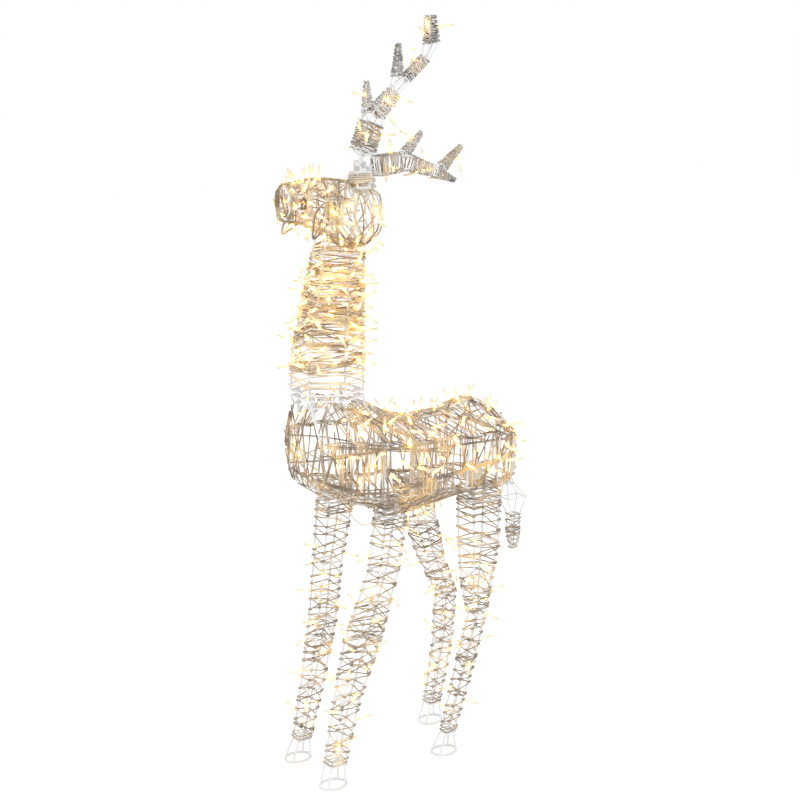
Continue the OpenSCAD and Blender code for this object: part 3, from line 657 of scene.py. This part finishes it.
def tilted_turns(wires, place, tilt, turns, rng):
    """A bunch of turns that drops by twice the tilt from the animal's front right to its rear left."""
    low_side = math.radians(57)
    spread = 0.005
    marks = []
    for i in range(turns * wires.count + 1):
        turn = 2 * math.pi * i / wires.count
        s = place + rng.uniform(-spread, spread) - tilt * math.cos(turn + low_side)
        marks.append((i % wires.count, s))
    return over(wires, marks, rng, loose=0.002)


HEAD_ANGLES = [2 * math.pi * k / 12 for k in range(12)]


class Head:
    """The head's surface: rounded between its octagons."""

    def __init__(self):
        sections = head_sections()
        self.y = np.array([c[1] for c, _, _ in sections])
        self.z = np.array([c[2] for c, _, _ in sections])
        self.x = sections[0][0][0]
        self.wide = np.array([w for _, w, _ in sections])
        self.high = np.array([h for _, _, h in sections])

    def point(self, y, angle, out=0.0):
        w = np.interp(y, self.y, self.wide) + out
        h = np.interp(y, self.y, self.high) + out
        z = np.interp(y, self.y, self.z) + h * math.sin(angle)
        return np.array([self.x + w * math.cos(angle), y, z])


def head_winding(rng):
    """Loose loops round the muzzle and skull, and curved cords between them."""
    head = Head()
    loops, rim_loops, face_cords, long_cords = 24, 5, 7, 26
    lines = [head_loop(head, (i + rng.uniform(0.1, 0.9)) / loops, rng) for i in range(loops)]
    lines += [rim_loop(head, rng) for _ in range(rim_loops)]
    lines += [face_cord(head, rng) for _ in range(face_cords)]
    lines += [long_head_cord(head, rng) for _ in range(long_cords)]
    cord = piece_of_lines("head_cord", lines, rng=rng)
    finish_piece(cord, LIT_RATTAN, "neck_and_head", "rattan_cord", "head_winding", "muzzle_winding")


def head_loop(head, share, rng):
    """A leaning loop round the head at a share of its length from the muzzle."""
    first, last = head.y[0], head.y[-1]
    y = first + (last - first) * share
    lean = rng.normal(0, 0.024)
    phase = rng.uniform(0, 2 * math.pi)
    loop = []
    for angle in HEAD_ANGLES:
        place = np.clip(y + lean * math.sin(angle + phase), first, last)
        loop.append(head.point(place, angle, 0.0035 + rng.uniform(0, 0.003)))
    return closed(loop, 4)


def rim_loop(head, rng):
    """A loop that lies on the muzzle's front hoop."""
    loop = []
    for angle in HEAD_ANGLES:
        place = head.y[0] + rng.uniform(0, 0.004)
        loop.append(head.point(place, angle, rng.uniform(0.002, 0.005)))
    return closed(loop, 4)


def face_cord(head, rng):
    """A bulging cord across the muzzle's open end."""
    angle, turn = rng.uniform(0, 2 * math.pi), rng.uniform(2.0, 4.2)
    ends = [head.point(head.y[0], a, 0.003) for a in (angle, angle + turn)]
    bulge = np.array([0, -rng.uniform(0.003, 0.006), 0])
    between = (ends[0] + ends[1]) / 2 + bulge + rng.normal(0, 0.003, 3) * (1, 0, 1)
    return smooth([ends[0] + bulge / 2, between, ends[1] + bulge / 2], 6)


def long_head_cord(head, rng):
    """A cord that runs along the head and twists round it."""
    angle = rng.uniform(0, 2 * math.pi)
    twist = rng.uniform(-1.6, 1.6)
    start, stop = head.y[0] + rng.uniform(0, 0.05), head.y[-1] - rng.uniform(0, 0.09)
    return smooth([head.point(start + (stop - start) * t, angle + twist * t, 0.004 + rng.uniform(0, 0.003))
                   for t in np.linspace(0, 1, 7)], 4)


def stub_windings(rng):
    """Close turns round the two stubs that the antlers stand on."""
    pitch = 0.0036
    for side in ("left", "right"):
        wires = Wires(rect_stack(f"stub_winding_{side}"))
        lines = [wrap(wires, 0.0, wires.length, pitch, rng, wander=0.8)]
        cord = piece_of_lines(f"stub_{side}_cord", lines, rng=rng)
        finish_piece(cord, SILVER, "neck_and_head", "rattan_cord", f"stub_winding_{side}")


def antler_windings(rng):
    """Close silver turns on each stretch, and two finer, rougher layers on the narrow ones."""
    pitch, narrow, layers = 0.0044, 0.03, 2
    for side in ("left", "right"):
        thick, thin = [], []
        for low, high in antler_stretches(side):
            wires = Wires([low, high])
            if np.linalg.norm(low[0] - low[2]) < narrow:
                thin += [wrap(wires, 0.0, wires.length, pitch, rng, wander=1.1,
                              reach=THIN_WIRE_R + THIN_CORD_R) for _ in range(layers)]
            else:
                thick.append(wrap(wires, 0.0, wires.length, pitch, rng, wander=0.9,
                                  reach=THIN_WIRE_R + CORD_R))
        cord = piece_of_lines(f"antler_{side}_cord", thick, rng=rng)
        finish_piece(cord, SILVER, f"antler_{side}", "silver_cord", f"antler_{side}_winding")
        fine = piece_of_lines(f"antler_{side}_fine_cord", thin, THIN_CORD_R, sides=6, rng=rng)
        finish_piece(fine, SILVER, f"antler_{side}", "silver_cord")


def tail_winding(rng):
    """Turns round the lower tail, closer in its middle."""
    wires = Wires(rect_stack("tail_winding", TAIL_SKIN_OUT))
    reach = THIN_WIRE_R + THIN_CORD_R
    pitch, extra_pitch = 0.0075, 0.0065
    lines = [wrap(wires, 0.0, wires.length, pitch, rng, wander=0.9, reach=reach),
             wrap(wires, wires.length * 0.35, wires.length * 0.7, extra_pitch, rng, wander=0.7, reach=reach)]
    cord = piece_of_lines("tail_cord", lines, THIN_CORD_R, sides=6, rng=rng)
    finish_piece(cord, RATTAN, "torso", "rattan_cord", "tail_winding")


# ---------- torso ----------


def laced_bands(rng):
    """Cords laced to and fro between the torso's neighbouring long wires."""
    torso = torso_stack()
    length = Wires(torso).length
    # For each band: share of the torso's length from chest to rump, and the pitch there
    laced = {
        0: [(0.04, 0.26, 0.020), (0.26, 0.52, 0.016), (0.52, 0.74, 0.022), (0.74, 0.92, 0.040)],
        1: [(0.0, 0.07, 0.030), (0.07, 0.26, 0.012), (0.26, 0.31, 0.020), (0.38, 0.62, 0.0105),
            (0.62, 0.80, 0.026), (0.80, 1.0, 0.030)],
        2: [(0.04, 0.36, 0.026), (0.36, 0.68, 0.011), (0.68, 0.98, 0.022)],
        3: [(0.1, 0.36, 0.030), (0.36, 0.7, 0.012), (0.7, 0.95, 0.028)],
        4: [(0.04, 0.96, 0.030)],
        5: [(0.0, 0.3, 0.034), (0.3, 0.62, 0.024), (0.62, 1.0, 0.034)],
        6: [(0.06, 0.94, 0.026)],
        7: [(0.25, 0.6, 0.024), (0.6, 0.95, 0.036)],
    }
    # By band number: how far crossings are off, and how far every second one is set on
    wander = (0.5, 0.3, 0.6, 0.6, 0.6, 0.5, 0.8, 0.9)
    slant = {0: 0.036, 6: 0.03, 2: 0.012}
    for k, name in enumerate(TORSO_BANDS):
        pair = Wires(torso[:, [k, (k + 1) % len(TORSO_BANDS)]])
        lines = [wrap(pair, a * length, b * length, pitch, rng, wander=wander[k], loose=0.0015,
                      slant=slant.get(k, 0.0))
                 for a, b, pitch in laced[k]]
        cord = piece_of_lines(f"{name}_cord", lines, rng=rng)
        finish_piece(cord, RATTAN, "torso", "rattan_cord", f"winding_{name}")


def long_torso_cords(rng):
    """Whole turns round the torso, long cords drawn over its bands, and cords along its edges."""
    whole = Wires(torso_stack())
    length, pitch = whole.length, 0.07
    lines = [wrap(whole, a * length, b * length, pitch, rng, wander=0.45, loose=0.002)
             for a, b in ((0.0, 0.5), (0.45, 1.0))]
    # For each cord: its band, then share of the length and of the band's width
    strands = (
        (1, (0.0, 0.96), (0.3, 0.86), (0.97, 0.42)), (1, (0.0, 0.9), (0.5, 0.7), (0.96, 0.36)),
        (1, (0.02, 0.04), (0.4, 0.14), (0.98, 0.1)), (1, (0.0, 0.3), (0.22, 0.1), (0.5, 0.03)),
        (1, (0.0, 0.12), (0.16, 0.9)), (1, (0.05, 0.02), (0.02, 0.98)), (1, (0.7, 0.98), (0.86, 0.05)),
        (5, (0.0, 0.2), (0.97, 0.6)), (5, (0.03, 0.9), (0.9, 0.2)),
        (0, (0.10, 0.05), (0.42, 0.95)), (0, (0.12, 0.04), (0.33, 0.96)), (0, (0.14, 0.03), (0.24, 0.97)),
        (0, (0.78, 0.03), (0.98, 0.9)), (0, (0.78, 0.03), (0.90, 0.97)), (0, (0.78, 0.03), (0.68, 0.97)),
        (0, (0.78, 0.03), (0.56, 0.95)), (6, (0.12, 0.96), (0.4, 0.05)), (6, (0.78, 0.97), (0.95, 0.05)),
        (2, (0.0, 0.3), (0.5, 0.9)), (2, (0.95, 0.3), (0.55, 0.9)),
    )
    side_edges, copies = (1, 2, 5, 6), 2
    for k, *places in strands:
        lines += [strand(whole, k, places, rng) for _ in range(copies)]
    for k in side_edges:
        lines += [along_edge(whole, k, rng) for _ in range(copies)]
    cord = piece_of_lines("torso_long_cord", lines, rng=rng)
    finish_piece(cord, RATTAN, "torso", "rattan_cord")


def strand(wires, k, places, rng):
    """A cord laid over band k through places given by share of the length and of the band's width."""
    out, steps, kept = 0.0042, 14, 3
    line = []
    for a, b in zip(places, places[1:]):
        for t in np.linspace(0, 1, steps, endpoint=b is places[-1]):
            s = (a[0] * (1 - t) + b[0] * t) * wires.length
            across = a[1] * (1 - t) + b[1] * t
            ring = wires.ring(s)
            low, high = ring[k], ring[(k + 1) % wires.count]
            away = unit(np.cross(high - low, wires.way(k, s)))
            away *= np.sign(away @ ((low + high) / 2 - ring.mean(0)))
            line.append(low * (1 - across) + high * across + away * out)
    line = np.array(line)
    line += rng.normal(0, 0.0012, 3) + rng.normal(0, 0.0004, line.shape)
    ends_on_last = len(line) % kept == 1
    return smooth(line[::kept] if ends_on_last else np.concatenate([line[::kept], line[-1:]]), 3)


def along_edge(wires, k, rng):
    """A cord laid along one long wire in slow turns round it."""
    margin, step = 0.004, 0.01
    turn = rng.uniform(0.05, 0.09)
    phase = rng.uniform(0, 2 * math.pi)
    reach = WIRE_R + CORD_R + rng.uniform(0.0005, 0.002)
    line = []
    for s in np.arange(margin, wires.length - margin, step):
        ring = wires.ring(s)
        away, way = unit(ring[k] - ring.mean(0)), wires.way(k, s)
        other = unit(np.cross(way, away))
        angle = 2 * math.pi * s / turn + phase
        line.append(ring[k] + reach * (math.cos(angle) * away + math.sin(angle) * other))
    return np.array(line)


def end_windings(rng):
    """Cords across the chest and the rump, between the corners of the end sections."""
    torso = torso_stack()
    cords = 16
    for name, ring, way in (("chest", torso[0], -1), ("rump", torso[-1], 1)):
        lines = []
        count = len(ring)
        for _ in range(cords):
            a, b = rng.choice(count, 2, replace=False)
            i, j = a + rng.uniform(0, 1), b + rng.uniform(0, 1)
            ends = [ring[int(x) % count] * (1 - x % 1) + ring[(int(x) + 1) % count] * (x % 1)
                    for x in (i, j)]
            push = np.array([0, way * (WIRE_R + CORD_R + rng.uniform(0, 0.002)), 0])
            lines.append(np.array([ends[0] + push, (ends[0] + ends[1]) / 2 + 1.2 * push, ends[1] + push]))
        cord = piece_of_lines(f"{name}_cord", lines, rng=rng)
        finish_piece(cord, RATTAN, "torso", "rattan_cord", f"winding_{name}")


# ---------- lamps ----------


def lamp_places(node):
    """Foot, direction and length of each lamp in a node: the wider end is its foot."""
    flat_end = 0.0006
    places = []
    for part in loose_parts(node):
        centre = part.mean(0)
        way = np.linalg.svd(part - centre)[2][0]
        along = (part - centre) @ way
        ends = []
        for edge in (along.min(), along.max()):
            near = np.abs(along - edge) < flat_end
            off = part[near] - centre - np.outer(along[near], way)
            ends.append((np.linalg.norm(off - off.mean(0), axis=1).max(), edge, off.mean(0)))
        foot, tip = (ends[0], ends[1]) if ends[0][0] > ends[1][0] else (ends[1], ends[0])
        start = centre + way * foot[1] + foot[2]
        end = centre + way * tip[1] + tip[2]
        places.append((start, unit(end - start), np.linalg.norm(end - start)))
    return places


def lathe(profile, sides):
    """Points and faces turned round +Z from a profile of radius and height, its ends capped."""
    angles = np.linspace(0, 2 * math.pi, sides, endpoint=False)
    rings = np.array([[(r * math.cos(a), r * math.sin(a), z) for a in angles] for r, z in profile])
    i, k = np.meshgrid(np.arange(len(profile) - 1), np.arange(sides), indexing="ij")
    a, b = i * sides + k, i * sides + (k + 1) % sides
    quads = np.stack([a, b, b + sides, a + sides], -1).reshape(-1, 4)
    return rings.reshape(-1, 3), np.concatenate([quads, capped_ends(len(profile), sides)])


def spread_copies(name, places, profile, sides, tones):
    """One mesh of turned copies of a lathed shape, one at each place."""
    base, faces = lathe(profile, sides)
    tone = np.repeat(tones, sides)
    points, quads = [], []
    for n, (start, way, length) in enumerate(places):
        across = unit(np.cross(way, UP if abs(way[2]) < 0.9 else SIDE))
        turn = np.stack([across, np.cross(way, across), way])
        points.append(base * (1, 1, length / HOLDER_LENGTH) @ turn + start)
        quads.append(faces + n * len(base))
    obj = mesh_piece(name, np.concatenate(points), np.concatenate(quads))
    obj.data.attributes.new("tone", "FLOAT", "POINT").data.foreach_set(
        "value", np.tile(tone, len(places)).astype(np.float32))
    return obj


# Radius and height of a lamp's holder and of its core, and the holder's tone at each ring
HOLDER_LENGTH = 0.03
HOLDER_PROFILE = (
    (0.0002, 0.0), (0.0026, 0.0), (0.003, 0.0006), (0.003, 0.0045), (0.0027, 0.005), (0.003, 0.0055),
    (0.003, 0.0095), (0.0026, 0.0105), (0.0026, 0.014), (0.0024, 0.020), (0.0022, 0.026), (0.0019, 0.0288),
    (0.0012, 0.0298), (0.0002, 0.030),
)
HOLDER_TONES = (0.0, 0.0, 0.0, 0.0, 0.0, 0.05, 0.1, 0.15, 0.3, 0.5, 0.8, 0.9, 1.0, 1.0)
CORE_PROFILE = ((0.0001, 0.004), (0.0012, 0.0045), (0.0013, 0.010), (0.0009, 0.0125), (0.0001, 0.0135))


def lamps():
    """A clear holder and a glowing core for every lamp of the frame."""
    for body, members in frame["record"]["behaviour"]["bodies"].items():
        for node in members:
            if node.endswith("_lamps"):
                places = lamp_places(node)
                holder = spread_copies(f"{node}_holders", places, HOLDER_PROFILE, 12, HOLDER_TONES)
                finish_piece(holder, HOLDER, body, "lamp_clear", node)
                core = spread_copies(f"{node}_cores", places, CORE_PROFILE, 8, (0,) * len(CORE_PROFILE))
                finish_piece(core, CORE, body, "lamp_clear")


# ---------- hooves and ears ----------


def hooves():
    """Smooth oval loops of wire where the frame has straight-sided ones."""
    for leg in LEGS:
        low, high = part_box(f"hoof_{leg}")
        low, high = np.array(low), np.array(high)
        radius = 0.0025
        centre, half = (low + high) / 2, (high - low) / 2
        turns = np.linspace(0, 2 * math.pi, 49)
        line = np.array([(centre[0] + (half[0] - radius) * math.cos(a),
                          centre[1] + (half[1] - radius) * math.sin(a), low[2] + radius) for a in turns])
        loop = piece_of_lines(f"hoof_{leg}_loop", [line], radius, sides=12, flat=1.0)
        finish_piece(loop, WHITE_WIRE, f"leg_{leg}", "white_wire", f"hoof_{leg}")


def ears(rng):
    """A leaf of three cords with a spine, where the frame has a plain one."""
    # Share of the way to the tip, and the half width there as a share of the widest
    outline = ((0.2, 0.7), (0.45, 1.0), (0.75, 0.65))
    for side in ("left", "right"):
        points = node_points(f"ear_{side}")[0]
        root = points[points[:, 2].argmax()]
        tip = points[points[:, 2].argmin()]
        along = tip - root
        wide = unit(np.cross(SIDE, along))
        half = 0.017
        lines = []
        for scale, drop in ((1.0, 0.0), (0.86, 0.0016), (0.93, -0.0014)):
            shift = SIDE * drop
            edges = [[root + share * along + sign * width * half * scale * wide for share, width in outline]
                     for sign in (1, -1)]
            leaf = [root, *edges[0], tip, *reversed(edges[1])]
            lines.append(closed([p + shift for p in leaf], 5))
        lines.append(smooth([root, root + 0.5 * along + 0.003 * wide, tip], 5))
        cord = piece_of_lines(f"ear_{side}_cord", lines, rng=rng)
        finish_piece(cord, RATTAN, "neck_and_head", "rattan_cord", f"ear_{side}")


# ---------- surroundings ----------


def paint_frame():
    """The CAD nodes that stay get their finished materials."""
    finishes = {"power_inlet": IVORY, "antler_bolts": ZINC}
    for name, node in frame["nodes"].items():
        node.data.materials.clear()
        node.data.materials.append(finishes.get(name, WHITE_WIRE))


def surroundings():
    """A pale floor, a white sky and three soft lights."""
    bpy.ops.mesh.primitive_plane_add(size=30)
    floor = bpy.context.object
    floor.name = "floor"
    material, _, shader = new_material("floor_paper")
    shader.inputs["Base Color"].default_value = (0.85, 0.85, 0.85, 1)
    shader.inputs["Roughness"].default_value = 0.9
    shader.inputs["Emission Color"].default_value = (1, 1, 1, 1)
    shader.inputs["Emission Strength"].default_value = 0.22
    floor.data.materials.append(material)
    world = bpy.data.worlds.new("sky")
    world.use_nodes = True
    world.node_tree.nodes["Background"].inputs["Color"].default_value = (1, 1, 1, 1)
    world.node_tree.nodes["Background"].inputs["Strength"].default_value = 1.0
    bpy.context.scene.world = world
    bpy.context.scene.view_settings.view_transform = "Standard"
    aim = Vector((0, 0, 0.8))
    lights = (("key", (2.6, -2.2, 2.8), 26, 1.6), ("fill", (-2.4, -2.4, 1.6), 10, 2.0),
              ("back", (0.5, 3.0, 2.4), 14, 2.0))
    for name, place, power, size in lights:
        data = bpy.data.lights.new(name, "AREA")
        data.energy = power
        data.size = size
        light = bpy.data.objects.new(name, data)
        light.location = place
        light.rotation_mode = "QUATERNION"
        light.rotation_quaternion = (aim - light.location).to_track_quat("-Z", "Y")
        bpy.context.scene.collection.objects.link(light)


make_camera()
belly_cable()
paint_frame()
leg_windings(np.random.default_rng(11))
leg_top_windings(np.random.default_rng(20))
neck_winding(np.random.default_rng(12))
head_winding(np.random.default_rng(13))
stub_windings(np.random.default_rng(14))
antler_windings(np.random.default_rng(15))
tail_winding(np.random.default_rng(16))
torso_rng = np.random.default_rng(17)
laced_bands(torso_rng)
long_torso_cords(torso_rng)
end_windings(np.random.default_rng(18))
ears(np.random.default_rng(19))
hooves()
lamps()
surroundings()
